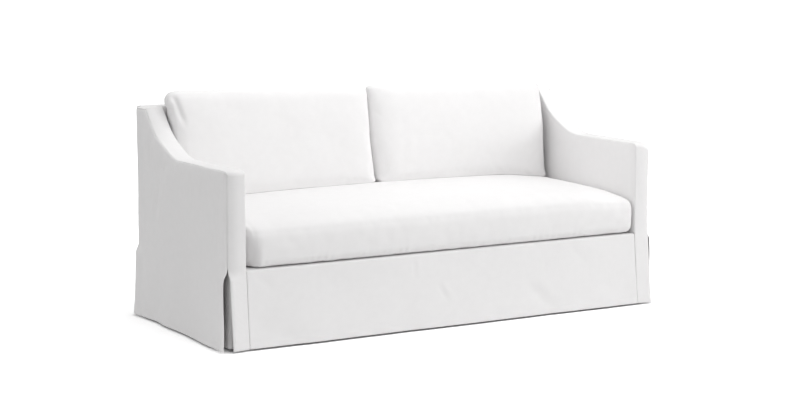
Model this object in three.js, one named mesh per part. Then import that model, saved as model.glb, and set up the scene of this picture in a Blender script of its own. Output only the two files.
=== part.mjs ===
// A fitted slipcover set for a two-seat sofa with narrow square arms: the loose cotton-linen
// cover, cut and sewn from separate panels that end in a floor-length skirt with a kick pleat
// at each corner, and its three filled cushions. The sofa inside is left out, so the cover is
// hollow and open at the hem.

import * as THREE from 'three';
import { mergeVertices } from 'three/addons/utils/BufferGeometryUtils.js';

// Driving dimensions, in millimetres. +X runs across the width, -Y is the front, +Z is up and
// z = 0 is the level of the hem.
const WIDTH = 1930; // over both arms, above the skirt
const DEPTH = 815; // front of the arms to the outside back
const BACK_TOP = 848;
const ARM_TOP = 661;
const ARM_WIDE = 66;
const DECK = 290; // top of the platform that the seat cushion lies on
const CLOTH = 2; // thickness of a panel, with its seam allowance
const SEAM = 0.4; // left between two panels where they are sewn
const NOSE = 16; // radius of the front top corner of an arm
const SLOPE_RADIUS = 334; // the arm top sweeps up to the back along this arc
const SLOPE_ANGLE = THREE.MathUtils.degToRad(49);
const BACK_LEAN = 25; // how much further back the inside back is at its top than at the deck

// The skirt: every panel swings out below this height, and more so beside a kick pleat.
const FLARE_TOP = 320;
const KICK = 11; // quick step outwards just under the top of a pleat
const KICK_DROP = 48; // height over which that step is made
const KICK_REACH = 70; // distance from the pleat over which it dies out
const PLEAT_LEG = 84; // length of each leg of the folded underlay
const PLEAT_INSET = 5; // how far the underlay hangs inside the panels
const PLEAT_BEND = 14; // radius of its fold

// Cushions.
const SEAT_HALF_WIDTH = 891;
const SEAT_EDGE = 158; // thickness along its boxed edges
const SEAT_CROWN = 38;
const SEAT_ROUNDING = 38;
const BACK_CUSHION_WIDTH = 884;
const BACK_CUSHION_FRONT = 188; // y of its side edges where they stand on the seat
const BACK_CUSHION_LEAN = 0.19; // how fast those edges run back as they rise
const BACK_CUSHION_CROWN = 44;
const BACK_CUSHION_ROUNDING = 30;
const CUSHION_GAP = 2; // clear space round a cushion

const HALF_WIDTH = WIDTH / 2;
const HALF_DEPTH = DEPTH / 2;
const ARM_INSIDE = HALF_WIDTH - ARM_WIDE;
const UNDER = CLOTH + SEAM; // a panel whose edge lies under its neighbour ends this far inside
const ARC_END_Y = SLOPE_RADIUS * Math.sin(SLOPE_ANGLE);
const ARC_END_Z = ARM_TOP + SLOPE_RADIUS * (1 - Math.cos(SLOPE_ANGLE));
const BACK_FRONT = ARC_END_Y + (BACK_TOP - ARC_END_Z) / Math.tan(SLOPE_ANGLE);

const { clamp, lerp, smoothstep } = THREE.MathUtils;

const evenly = (from, to, count) => Array.from({ length: count + 1 }, (_, i) => lerp(from, to, i / count));
const cotton = (color) => new THREE.MeshStandardMaterial({ color, roughness: 0.92, metalness: 0 });

// ---- the lines that the panels share -------------------------------------------------------

// Height of the top edge of a side, from the level arm up the sweep to the back's flat top.
function sideTop(y) {
  if (y <= 0) return ARM_TOP;
  if (y <= ARC_END_Y) return ARM_TOP + SLOPE_RADIUS - Math.sqrt(SLOPE_RADIUS ** 2 - y ** 2);
  return Math.min(BACK_TOP, ARC_END_Z + (y - ARC_END_Y) * Math.tan(SLOPE_ANGLE));
}

// The same edge for a panel that ends under the arm strip, measured square to the slope.
function tuckedTop(y) {
  const sweep = Math.asin(clamp(y / SLOPE_RADIUS, 0, Math.sin(SLOPE_ANGLE)));
  const radius = NOSE - UNDER;
  const intoNose = clamp(NOSE - HALF_DEPTH - y, 0, radius);
  const drop = radius - Math.sqrt(radius ** 2 - intoNose ** 2);
  return Math.min(BACK_TOP - UNDER, sideTop(y) - drop - UNDER / Math.cos(sweep));
}

// Stations along the sweep, shared by every panel that meets there.
const SWEEP_STATIONS = evenly(0, SLOPE_ANGLE, 9).map((angle) => SLOPE_RADIUS * Math.sin(angle));

// Front face of the inside back, which leans away as it rises.
const insideBack = (z) => BACK_FRONT - BACK_LEAN * (BACK_TOP - z) / (BACK_TOP - DECK);

// Share of the full flare reached at a height: none above FLARE_TOP and all of it at the hem.
const flareShare = (z) => clamp((FLARE_TOP - z) / FLARE_TOP, 0, 1) ** 1.15;

// Share of the quick step beside a pleat, for a point this far along the panel from the pleat.
const kickShare = (along, z) => smoothstep(DECK - z, 0, KICK_DROP) * (1 - smoothstep(along, 0, KICK_REACH));

// How far each panel of the skirt stands out at the hem. The cover hangs unevenly: its left
// side swings out at the front and its right side at the back.
const leftFlare = (y) => 10 + 50 * clamp(0.5 - y / DEPTH, 0, 1) ** 1.6;
const rightFlare = (y) => 17 + 42 * clamp(0.5 + y / DEPTH, 0, 1) ** 1.6;
const frontFlare = (x) => lerp(44, 22, clamp(0.5 + x / 1500, 0, 1));
const backFlare = (x) => lerp(37, 47, clamp(0.5 + x / 1500, 0, 1));

// Soft upright folds: where each one lies along its panel, its half width, its height and the
// level from which it grows down to the hem.
const SIDE_FOLDS = [
  { at: 322, wide: 40, tall: 4, from: 560 },
  { at: 205, wide: 34, tall: -4, from: 500 },
  { at: 96, wide: 46, tall: 4.5, from: 520 },
  { at: -60, wide: 60, tall: -3, from: 330 },
  { at: -230, wide: 55, tall: 4, from: 300 },
];
const FRONT_FOLDS = [
  { at: -610, wide: 90, tall: 3, from: 230 },
  { at: -215, wide: 60, tall: -3.5, from: 280 },
  { at: 90, wide: 80, tall: 3, from: 250 },
  { at: 470, wide: 70, tall: -3, from: 270 },
  { at: 720, wide: 60, tall: 3, from: 260 },
];

function foldHeight(folds, along, z) {
  return folds.reduce((sum, fold) => {
    const across = Math.exp(-(((along - fold.at) / fold.wide) ** 2));
    return sum + fold.tall * across * smoothstep(fold.from - z, 0, fold.from);
  }, 0);
}

// ---- making a sheet and a cushion ----------------------------------------------------------

function closed(geometry) {
  geometry.deleteAttribute('normal');
  geometry.deleteAttribute('uv');
  const merged = mergeVertices(geometry, 1e-3);
  merged.computeVertexNormals();
  return merged;
}

function mesh(name, geometry, color) {
  const piece = new THREE.Mesh(closed(geometry), cotton(color));
  piece.name = name;
  return piece;
}

// A sheet of cloth: place(a, b) is its outer face, over the stations a across and b up, and
// facing is +1 where a, b and the outward direction are right-handed.
function sheet(name, across, up, facing, place, color) {
  const columns = facing > 0 ? across : across.toReversed();
  const geometry = new THREE.BoxGeometry(1, 1, 1, columns.length - 1, up.length - 1, 1);
  const points = geometry.attributes.position;
  const step = 0.01;
  for (let i = 0; i < points.count; i += 1) {
    const a = columns[Math.round((points.getX(i) + 0.5) * (columns.length - 1))];
    const b = up[Math.round((points.getY(i) + 0.5) * (up.length - 1))];
    const alongA = place(a + step, b).sub(place(a - step, b));
    const alongB = place(a, b + step).sub(place(a, b - step));
    const outward = alongA.cross(alongB).normalize().multiplyScalar(facing);
    const depth = points.getZ(i) > 0 ? 0 : CLOTH;
    const point = place(a, b).addScaledVector(outward, -depth);
    points.setXYZ(i, point.x, point.y, point.z);
  }
  return mesh(name, geometry, color);
}

// Stations along one axis of a cushion, closer together round its edges.
function cushionStations(half, rounding, divisions) {
  const edge = [half, half - rounding * (1 - Math.tan(Math.PI / 8))];
  return [...edge.map((v) => -v), ...evenly(rounding - half, half - rounding, divisions), ...edge.toReversed()];
}

// A filled cushion: a box with rounded edges, of the given half sizes, whose every point is
// then carried to its place by shape.
function cushion(name, half, rounding, divisions, shape, color) {
  const stations = half.map((size, axis) => cushionStations(size, rounding, divisions[axis]));
  const geometry = new THREE.BoxGeometry(1, 1, 1, ...stations.map((list) => list.length - 1));
  const points = geometry.attributes.position;
  const core = new THREE.Vector3(...half.map((size) => size - rounding));
  const low = core.clone().negate();
  for (let i = 0; i < points.count; i += 1) {
    const unit = [points.getX(i), points.getY(i), points.getZ(i)];
    const cube = new THREE.Vector3(...unit.map((v, axis) => {
      const list = stations[axis];
      return list[Math.round((v + 0.5) * (list.length - 1))];
    }));
    const inner = cube.clone().clamp(low, core);
    const point = shape(inner.clone().addScaledVector(cube.sub(inner).normalize(), rounding));
    points.setXYZ(i, point.x, point.y, point.z);
  }
  return mesh(name, geometry, color);
}

// ---- the cover's panels --------------------------------------------------------------------

const SKIRT_ROWS = [0, 0.33, 0.66, 0.84, 0.92, 1]; // up the skirt, as a share of DECK
const FIRST_RISE = 0.1; // the first row above the deck, as a share of the rest
const UPPER_ROWS = [1 + FIRST_RISE, 1.4, 1.7, 2];

// Height for a row number that runs from 0 at the hem, through 1 at the deck, to 2 at the top.
const rowHeight = (row, top) => (row <= 1 ? row * DECK : lerp(DECK, top, row - 1));

// Outer face of an arm and the end of the back, cut in one and open to a flap at both ends of
// its skirt. The front and the rear flap reach out past the corner by their own amounts.
function outerArm(name, side, flare, frontReach, rearReach) {
  const end = HALF_DEPTH - UNDER;
  const columns = [
    ...evenly(-end, -end + KICK_REACH, 4), ...evenly(-end + 110, -30, 7), ...SWEEP_STATIONS, 285,
    BACK_FRONT, ...evenly(end - KICK_REACH, end, 4),
  ];
  const place = (y, row) => {
    const z = rowHeight(row, tuckedTop(y));
    const share = flareShare(z);
    const fromPleat = end - Math.abs(y);
    const out = flare(y) * share + KICK * kickShare(fromPleat, z) + foldHeight(SIDE_FOLDS, side * -y, z);
    const reach = lerp(-frontReach, rearReach, 0.5 + y / (2 * end));
    return new THREE.Vector3(side * (HALF_WIDTH + out), y + reach * share, z);
  };
  return sheet(name, columns, [...SKIRT_ROWS, ...UPPER_ROWS], side, place, 0xf2f1ee);
}

// Inner face of an arm, from the deck up to the arm strip and back to the inside back.
function innerArm(name, side) {
  const front = -HALF_DEPTH + UNDER;
  const rear = BACK_FRONT - SEAM;
  const place = (y, rise) => {
    const lean = BACK_LEAN * (1 - rise) * (y - front) / (rear - front);
    return new THREE.Vector3(side * ARM_INSIDE, y - lean, lerp(DECK, tuckedTop(y), rise));
  };
  const columns = [front, NOSE - HALF_DEPTH, -250, -100, ...SWEEP_STATIONS, 285, rear];
  return sheet(name, columns, evenly(0, 1, 4), -side, place, 0xf4f3f0);
}

// The narrow strip that makes the edge of a side: up the front of the arm from the hem, over
// its nose, back along the arm and up the sweep. Its two edges drift out sideways at the hem,
// and its outer edge may step forward beside the pleat.
function armStrip(name, side, outerDrift, innerDrift, step) {
  const noseY = NOSE - HALF_DEPTH;
  const path = new THREE.Path();
  path.moveTo(-HALF_DEPTH, 0);
  path.lineTo(-HALF_DEPTH, ARM_TOP - NOSE);
  path.absarc(noseY, ARM_TOP - NOSE, NOSE, Math.PI, Math.PI / 2, true);
  path.lineTo(0, ARM_TOP);
  path.absarc(0, ARM_TOP + SLOPE_RADIUS, SLOPE_RADIUS, -Math.PI / 2, SLOPE_ANGLE - Math.PI / 2, false);
  path.lineTo(BACK_FRONT - CLOTH, BACK_TOP - CLOTH * Math.tan(SLOPE_ANGLE));
  const total = path.getLength();
  const noseStart = ARM_TOP - NOSE;
  const noseEnd = noseStart + NOSE * Math.PI / 2;
  const sweepStart = noseEnd - noseY;
  const sweepEnd = sweepStart + SLOPE_RADIUS * SLOPE_ANGLE;
  const stations = [
    ...SKIRT_ROWS.map((row) => row * DECK), lerp(DECK, noseStart, FIRST_RISE), 480,
    ...evenly(noseStart, noseEnd, 4),
    ...evenly(noseEnd, sweepStart, 4).slice(1, -1), ...evenly(sweepStart, sweepEnd, SWEEP_STATIONS.length - 1),
    sweepEnd + 45, total,
  ];
  const place = (across, along) => {
    const on = path.getPoint(clamp(along / total, 0, 1));
    const share = flareShare(on.y);
    const x = side * lerp(ARM_INSIDE, HALF_WIDTH, across);
    const drift = lerp(innerDrift, outerDrift, across) * share;
    const out = frontFlare(x) * share + step * across * kickShare(0, on.y);
    return new THREE.Vector3(x + side * drift, on.x - out, on.y);
  };
  return sheet(name, evenly(0, 1, 2), stations, side, place, 0xf7f6f4);
}

// Front panel, from the deck to the hem between the two arm strips.
function frontPanel(leftDrift, rightDrift) {
  const end = ARM_INSIDE - SEAM;
  const place = (x, row) => {
    const z = row * (DECK - UNDER);
    const share = flareShare(z);
    const drift = lerp(-leftDrift, rightDrift, 0.5 + x / (2 * end));
    const out = frontFlare(x) * share + foldHeight(FRONT_FOLDS, x, z);
    return new THREE.Vector3(x + drift * share, -HALF_DEPTH - out, z);
  };
  return sheet('front_panel', evenly(-end, end, 30), evenly(0, 1, 5), 1, place, 0xf4f3f1);
}

// Outside back, from the boxing to the hem, with a flap at both ends of its skirt.
function outsideBack() {
  const columns = [
    ...evenly(-HALF_WIDTH, -HALF_WIDTH + KICK_REACH, 3), ...evenly(-820, 820, 18),
    ...evenly(HALF_WIDTH - KICK_REACH, HALF_WIDTH, 3),
  ];
  const place = (x, row) => {
    const z = rowHeight(row, BACK_TOP - UNDER);
    const share = flareShare(z);
    const out = backFlare(x) * share + KICK * kickShare(HALF_WIDTH - Math.abs(x), z) + foldHeight(FRONT_FOLDS, -x, z);
    return new THREE.Vector3(x + 12 * share * x / HALF_WIDTH, HALF_DEPTH + out, z);
  };
  return sheet('outside_back', columns, [...SKIRT_ROWS, 1.15, 1.5, 2], -1, place, 0xf2f1ee);
}

function insideBackPanel() {
  const end = ARM_INSIDE - SEAM;
  const place = (x, z) => new THREE.Vector3(x, insideBack(z), z);
  return sheet('inside_back', evenly(-end, end, 4), evenly(DECK + 2 * SEAM, BACK_TOP - UNDER, 3), 1, place, 0xf4f3f0);
}

// Boxing that covers the top of the back from arm to arm.
function backBoxing() {
  const place = (x, y) => new THREE.Vector3(x, y, BACK_TOP);
  return sheet('back_boxing', evenly(-HALF_WIDTH, HALF_WIDTH, 6), evenly(BACK_FRONT, HALF_DEPTH, 1), 1, place, 0xfaf9f7);
}

// Platform under the seat cushion.
function deckPanel() {
  const end = ARM_INSIDE - SEAM;
  const place = (x, y) => new THREE.Vector3(x, y, DECK);
  return sheet('deck', evenly(-end, end, 4), evenly(-HALF_DEPTH, insideBack(DECK) + CLOTH, 2), 1, place, 0xf4f3f0);
}

// Underlay of a kick pleat: a strip folded round the inside of a corner, which closes the
// split of the skirt from behind.
function pleatUnderlay(name, sideX, sideY, hang) {
  const cornerX = HALF_WIDTH - CLOTH - PLEAT_INSET;
  const cornerY = HALF_DEPTH - CLOTH - PLEAT_INSET;
  const path = new THREE.Path();
  path.moveTo(cornerX - PLEAT_LEG, cornerY);
  path.lineTo(cornerX - PLEAT_BEND, cornerY);
  path.absarc(cornerX - PLEAT_BEND, cornerY - PLEAT_BEND, PLEAT_BEND, Math.PI / 2, 0, true);
  path.lineTo(cornerX, cornerY - PLEAT_LEG);
  const place = (share, z) => {
    const on = path.getPointAt(clamp(share, 0, 1));
    const out = hang * flareShare(z) * Math.sin(Math.PI * clamp(share, 0, 1));
    const x = on.x + out * Math.SQRT1_2;
    const y = on.y + out * Math.SQRT1_2;
    return new THREE.Vector3(sideX * x, sideY * y, z);
  };
  const rows = evenly(3, DECK - 8, 4);
  const columns = [0, 0.25, ...evenly(0.42, 0.58, 4), 0.75, 1];
  return sheet(name, columns, rows, -sideX * sideY, place, 0xdedcd8);
}

// ---- the cushions --------------------------------------------------------------------------

const SEAT_BACK = insideBack(DECK) - CUSHION_GAP;
const SEAT_HALF_DEPTH = (HALF_DEPTH + SEAT_BACK) / 2;
const SEAT_MIDDLE = SEAT_BACK - SEAT_HALF_DEPTH;

// Height of the seat cushion's crowned top, before its edges are rounded off.
function seatTop(x, y) {
  const across = 1 - Math.abs(clamp(x / SEAT_HALF_WIDTH, -1, 1)) ** 5;
  const along = 1 - Math.abs(clamp((y - SEAT_MIDDLE) / SEAT_HALF_DEPTH, -1, 1)) ** 3.5;
  return DECK + SEAM + SEAT_EDGE + SEAT_CROWN * across * along;
}

// One long seat cushion, crowned on top, with its front face pushed out by its filling.
function seatCushion() {
  const half = [SEAT_HALF_WIDTH, SEAT_HALF_DEPTH, SEAT_EDGE / 2];
  const shape = (point) => {
    const rise = (point.z + half[2]) / SEAT_EDGE;
    const y = point.y + SEAT_MIDDLE;
    const level = DECK + SEAM;
    return new THREE.Vector3(point.x, y, level + rise * (seatTop(point.x, y) - level));
  };
  return cushion('seat_cushion', half, SEAT_ROUNDING, [16, 8, 1], shape, 0xfaf9f7);
}

// One of the two loose back cushions, standing on the seat and leaning on the inside back.
function backCushion(name, middle, topLeft, topRight) {
  const half = [BACK_CUSHION_WIDTH / 2, 50, 205];
  const shape = (point) => {
    const across = point.x / half[0];
    const rise = (point.z + half[2]) / (2 * half[2]);
    const depth = (half[1] - point.y) / (2 * half[1]);
    const x = middle + point.x * (1 - 0.008 * Math.sin(Math.PI * rise));
    const foot = seatTop(x, BACK_CUSHION_FRONT) + CUSHION_GAP;
    const z = lerp(foot, lerp(topLeft, topRight, (across + 1) / 2), rise);
    const front = BACK_CUSHION_FRONT + BACK_CUSHION_LEAN * (z - seatTop(0, BACK_CUSHION_FRONT));
    const rear = insideBack(z) - CUSHION_GAP;
    const crown = BACK_CUSHION_CROWN * (1 - Math.abs(across) ** 3) * (1 - Math.abs(2 * rise - 0.9) ** 4);
    return new THREE.Vector3(x, lerp(rear, front - Math.max(0, crown), depth), z);
  };
  return cushion(name, half, BACK_CUSHION_ROUNDING, [10, 1, 6], shape, 0xf4f3f1);
}

// ---- the set -------------------------------------------------------------------------------

const cover = new THREE.Group();
cover.add(
  outsideBack(),
  insideBackPanel(),
  backBoxing(),
  armStrip('arm_strip_left', -1, 22, 10, KICK),
  armStrip('arm_strip_right', 1, 3, 12, 0),
  outerArm('outer_arm_left', -1, leftFlare, 27, 27),
  outerArm('outer_arm_right', 1, rightFlare, 5, 30),
  innerArm('inner_arm_left', -1),
  innerArm('inner_arm_right', 1),
  deckPanel(),
  frontPanel(10, 12),
  pleatUnderlay('pleat_front_left', -1, -1, 18),
  pleatUnderlay('pleat_front_right', 1, -1, 8),
  pleatUnderlay('pleat_back_left', -1, 1, 8),
  pleatUnderlay('pleat_back_right', 1, 1, 18),
  seatCushion(),
  backCushion('back_cushion_left', -446, 914, 899),
  backCushion('back_cushion_right', 446, 896, 886),
);

export default cover;
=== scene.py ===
"""A white cotton and linen slipcover set for a two-seat sofa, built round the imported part.

The cover is thin sheets of cloth that keep the shape of the sofa they are pulled over, which
is left out. Each sheet starts as a flat grid, and every point of it is carried to its place by
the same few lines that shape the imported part. The cushions are filled forms, swollen by a
cloth simulation, that get their seams afterwards. Lengths are in metres.
"""

import math

import bmesh
import bpy
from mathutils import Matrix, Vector, noise


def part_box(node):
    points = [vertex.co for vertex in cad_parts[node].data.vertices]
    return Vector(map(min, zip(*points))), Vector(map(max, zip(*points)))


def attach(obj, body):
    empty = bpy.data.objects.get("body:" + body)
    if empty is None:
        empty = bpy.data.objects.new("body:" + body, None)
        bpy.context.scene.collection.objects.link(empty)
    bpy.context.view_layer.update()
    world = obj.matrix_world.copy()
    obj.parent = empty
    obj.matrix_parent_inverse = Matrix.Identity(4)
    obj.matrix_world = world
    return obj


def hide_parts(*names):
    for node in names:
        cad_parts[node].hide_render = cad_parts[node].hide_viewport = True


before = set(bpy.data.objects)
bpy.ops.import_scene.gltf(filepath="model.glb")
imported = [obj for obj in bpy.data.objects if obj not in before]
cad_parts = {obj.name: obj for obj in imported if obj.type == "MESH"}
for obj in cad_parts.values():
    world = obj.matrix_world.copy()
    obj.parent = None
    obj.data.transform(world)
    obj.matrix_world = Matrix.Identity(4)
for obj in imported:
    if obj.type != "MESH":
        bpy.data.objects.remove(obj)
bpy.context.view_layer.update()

MM = 0.001
CLOTH = 2 * MM
FLOOR = -8 * MM  # the hem hangs this far clear of the floor

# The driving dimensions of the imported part.
HALF_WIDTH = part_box("back_boxing")[1].x
BACK_FRONT, BACK_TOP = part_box("back_boxing")[0].y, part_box("back_boxing")[1].z
HALF_DEPTH = -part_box("deck")[0].y
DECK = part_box("deck")[1].z
ARM_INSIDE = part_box("inner_arm_right")[0].x
ARM_WIDE = HALF_WIDTH - ARM_INSIDE
ARM_TOP = 663 * MM
NOSE = 16 * MM  # radius of the front top corner of an arm
SWEEP_RADIUS = 334 * MM  # the arm top sweeps up to the back along this arc
SWEEP_ANGLE = math.radians(49)
SWEEP_END_Y = SWEEP_RADIUS * math.sin(SWEEP_ANGLE)
SWEEP_END_Z = ARM_TOP + SWEEP_RADIUS * (1 - math.cos(SWEEP_ANGLE))
BACK_LEAN = 25 * MM  # the inside back comes this far forward at the deck

# The skirt.
FLARE_TOP = 302 * MM  # it begins to flare here
KICK = 11 * MM  # it stands out this much more beside the split of a corner
KICK_DROP = 32 * MM  # and comes out to that over this height, below the deck
KICK_REACH = 70 * MM  # and goes back over this much, away from the corner
HEM = 24 * MM  # depth of the turned and stitched hem
PLEAT_REACH = 84 * MM  # a pleat's underlay runs this far each way behind the split

SEAM_GAP = 0.5 * MM  # between a cloth's edge and the line of its seam

# An arm strip is cut a little wider than the arm. It wraps softly round the outer edge, so that
# its outer seam lies just round the corner.
STRIP_WIDE = 74 * MM
BEND_LENGTH, BEND_ANGLE = 40 * MM, math.radians(30)
EDGE_RADIUS, EDGE_ANGLE = 10 * MM, math.radians(25)
LEVEL_BEND = 0.05  # share of the bend on the level arm top, where the strip lies flattest
SLOPE_BEND = 0.9  # and from the sweep up to the back
RIGHT_BEND = 0.5  # and at the front of the right arm, against all of it on the left
NOSE_REACH = 22 * MM  # the front's bend goes over into the arm top's within this
SLOPE_START, SLOPE_REACH = 130 * MM, 130 * MM  # and that one into the sweep's from here back
SEAM_DRAWN = 4 * MM  # how deep the stitches draw in the front seam of a side
SEAM_TURN = math.radians(35)  # what is left of the corner for the side panel
REAR_CORNER = 8 * MM
INNER_CORNER = 8 * MM
HALF_CORNER = math.pi / 4  # each of two panels turns half of a square corner

# The filling lifts the cloth off the arm top, most where the sweep begins.
PADDING, PADDING_MORE = 2 * MM, 9 * MM
PADDING_PLACE, PADDING_REACH = 150 * MM, 75 * MM

# The outer front corner of the right arm slumps.
SLUMP = 14 * MM
SLUMP_ABOVE = 0.58

# A side panel's front edge hangs free below this height, and curls back further there.
FREE_BELOW = 0.285
SPLIT = 0.258  # where the front strip's outer edge comes free
FREE_RADIUS, FREE_TURN = 20 * MM, 1.13
SIDE_BULGE = 8 * MM  # the outer arm stands out between its seams
BULGE_FROM_FRONT, BULGE_FROM_TOP = 28 * MM, 20 * MM  # and rises to that over about this much

# How far the hem stands out from the upright at the two ends of each side.
LEFT_FLARE = (10 * MM, 60 * MM)  # from the rear to the front
RIGHT_FLARE = (17 * MM, 59 * MM)  # from the front to the rear
FRONT_FLARE = (44 * MM, 22 * MM)  # from the left to the right
BACK_FLARE = (37 * MM, 47 * MM)  # from the left to the right
FLARE_ROUND = 1.6  # a side's flare grows along a curve with this power
FLARE_SPAN = 1.5  # the front and back flares change over this width

# Distances between the lines of a cloth grid.
FINE = 7.5 * MM
PLAIN = 14 * MM  # for panels that the cushions or the floor hide


# ---- small helpers -------------------------------------------------------------------------

def clamp(value, low=0.0, high=1.0):
    return min(high, max(low, value))


def smooth(value):
    value = clamp(value)
    return value * value * (3 - 2 * value)


def mix(start, end, share):
    return start + (end - start) * share


def hill(distance, half_width):
    """1 at no distance, falling away softly to 0."""
    return math.exp(-(distance / half_width) ** 2)


def spread(start, end, cell, margin=14 * MM, steps=6):
    """Places of a grid's lines from start to end, closer together beside both seams."""
    inner = max(1, round((end - start - 2 * margin) / cell))
    edge = [margin * (i / steps) ** 1.4 for i in range(steps)]
    middle = [mix(start + margin, end - margin, i / inner) for i in range(inner + 1)]
    return [start + d for d in edge] + middle + [end - d for d in reversed(edge)]


# ---- lines that the panels share -----------------------------------------------------------

def padding(y):
    """How far the filling lifts the cloth off the arm top here."""
    lift = PADDING + PADDING_MORE * hill(y - PADDING_PLACE, PADDING_REACH)
    return lift * smooth((y + HALF_DEPTH) / (40 * MM)) * smooth((0.3 - y) / (50 * MM))


def side_line(y):
    """Height of a side's top: level arm, sweep, straight rise, flat top of the back."""
    if y < NOSE - HALF_DEPTH:
        into = NOSE - HALF_DEPTH - y
        return ARM_TOP - NOSE + math.sqrt(max(0.0, NOSE**2 - into**2))
    if y <= 0:
        return ARM_TOP
    if y <= SWEEP_END_Y:
        return ARM_TOP + SWEEP_RADIUS - math.sqrt(SWEEP_RADIUS**2 - y**2)
    return min(BACK_TOP, SWEEP_END_Z + (y - SWEEP_END_Y) * math.tan(SWEEP_ANGLE))


def side_top(y):
    """Height of the cloth there."""
    return side_line(y) + padding(y)


def top_slope(y):
    """Cosine of the slope of that seam."""
    if y > BACK_FRONT:
        return 1.0
    return math.cos(math.asin(clamp(y / SWEEP_RADIUS, 0, math.sin(SWEEP_ANGLE))))


def inside_back(z):
    return BACK_FRONT - BACK_LEAN * (BACK_TOP - z) / (BACK_TOP - DECK)


def flare_share(z):
    return clamp((FLARE_TOP - z) / FLARE_TOP) ** 1.15


def kick_share(along, z):
    return smooth((DECK - z) / KICK_DROP) * (1 - smooth(along / KICK_REACH))


def rearward(y):
    """0 at the front of a side, 1 at its rear."""
    return clamp(0.5 + y / (2 * HALF_DEPTH))


def left_flare(y):
    return mix(*LEFT_FLARE, (1 - rearward(y)) ** FLARE_ROUND)


def right_flare(y):
    return mix(*RIGHT_FLARE, rearward(y) ** FLARE_ROUND)


def front_flare(x):
    return mix(*FRONT_FLARE, clamp(0.5 + x / FLARE_SPAN))


def back_flare(x):
    return mix(*BACK_FLARE, clamp(0.5 + x / FLARE_SPAN))


# ---- how cloth lies ------------------------------------------------------------------------

def turn(distance, radius, angle=HALF_CORNER):
    """A panel turning a corner on this radius, this far from its edge: (inset, shift back)."""
    left = max(0.0, angle - distance / radius)
    return radius * (1 - math.cos(left)), radius * (left - math.sin(left))


def strip_section(across, edge_radius=EDGE_RADIUS, edge_angle=EDGE_ANGLE, bend=BEND_ANGLE):
    """Across an arm strip from its inner seam: (distance outward, distance back)."""
    edge = edge_radius * edge_angle
    flat = STRIP_WIDE - BEND_LENGTH - edge
    if across <= flat:
        return across, 0.0
    scale = BEND_LENGTH / max(bend, 1e-3)
    angle = min(across - flat, BEND_LENGTH) / scale
    out, back = flat + scale * math.sin(angle), scale * (1 - math.cos(angle))
    rest = (across - flat - BEND_LENGTH) / edge_radius
    if rest > 0:
        out += edge_radius * (math.sin(angle + rest) - math.sin(angle))
        back += edge_radius * (math.cos(angle) - math.cos(angle + rest))
    return out, back


def bend_share(side, y):
    """How much of its bend an arm strip takes at this distance from the middle of the sofa."""
    front = 1.0 if side < 0 else RIGHT_BEND
    rear = mix(LEVEL_BEND, SLOPE_BEND, smooth((y - SLOPE_START) / SLOPE_REACH))
    return mix(front, rear, smooth((y + HALF_DEPTH) / NOSE_REACH))


def outer_seam(side, y):
    """Where the strip's outer seam lies: (distance from its inner seam, distance back)."""
    return strip_section(STRIP_WIDE, bend=BEND_ANGLE * bend_share(side, y))


def shoulder(point):
    """Lets a point of the right arm's outer front corner slump."""
    outward = smooth((point.x - ARM_INSIDE - 18 * MM) / (48 * MM))
    forward = smooth((-0.35 - point.y) / (50 * MM))
    point.z -= SLUMP * outward * forward * smooth((point.z - SLUMP_ABOVE) / (80 * MM))
    return point


def groove(distance, depth=1.5 * MM, reach=6 * MM):
    """How far a panel dips where it runs into a flat seam."""
    return depth * clamp(1 - distance / reach) ** 2


def wander(point, seed, size=0.22, height=2.2 * MM):
    """Unevenness of hanging cloth, in swells of about this size."""
    return height * noise.noise(Vector((point[0] / size, point[1] / size, seed)))


def pucker(along, distance, seed, height=0.9 * MM, pitch=11 * MM, reach=16 * MM):
    """Small gathers that a line of stitches draws into the cloth beside it."""
    gather = noise.noise(Vector((along / pitch, seed, 0.0)))
    strength = 0.5 + noise.noise(Vector((along / (130 * MM), seed, 9.0)))  # some stretches stay flat
    return height * gather * max(0.0, strength) * math.exp(-distance / reach)


def creases(marks, a, b):
    """Creases in a panel's own plane, softly run out at their ends.

    A mark is (start, end, half width, height).
    """
    total = 0.0
    for (a0, b0), (a1, b1), wide, tall in marks:
        da, db = a1 - a0, b1 - b0
        length = math.hypot(da, db)
        t = ((a - a0) * da + (b - b0) * db) / length**2
        if -0.4 < t < 1.4:
            off = abs((a - a0) * db - (b - b0) * da) / length
            if off < 3 * wide:
                total += tall * hill(off, wide) * smooth((t + 0.3) / 0.6) * smooth((1.3 - t) / 0.6)
    return total


def folds(list_of_folds, along, z):
    """Soft upright folds that grow down to the hem: (place, half width, height, start)."""
    return sum(tall * hill(along - at, wide) * smooth((start - z) / start)
               for at, wide, tall, start in list_of_folds)


def hem(along, z, seed):
    """The turned hem: doubled cloth below a row of stitches."""
    stitched = -0.7 * MM * hill(z - HEM, 2 * MM) + 0.5 * MM * smooth((HEM - z) / (2 * MM))
    gather = noise.noise(Vector((along / (12 * MM), seed, 3.0)))
    return stitched + 0.5 * MM * gather * hill(z - HEM, 9 * MM)


# Upright folds of the sides: a place is measured back on the left side and forward on the right.
SIDE_FOLDS = [
    (322 * MM, 40 * MM, 4 * MM, 0.56),
    (205 * MM, 34 * MM, -4 * MM, 0.50),
    (96 * MM, 46 * MM, 4.5 * MM, 0.52),
    (-60 * MM, 60 * MM, -3 * MM, 0.33),
    (-230 * MM, 55 * MM, 4 * MM, 0.30),
]
# Upright folds of the front, and the other way round of the back.
FRONT_FOLDS = [
    (-0.61, 90 * MM, 3 * MM, 0.23),
    (-0.215, 60 * MM, -3.5 * MM, 0.28),
    (0.09, 80 * MM, 3 * MM, 0.25),
    (0.47, 70 * MM, -3 * MM, 0.27),
    (0.72, 60 * MM, 3 * MM, 0.26),
]
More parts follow.
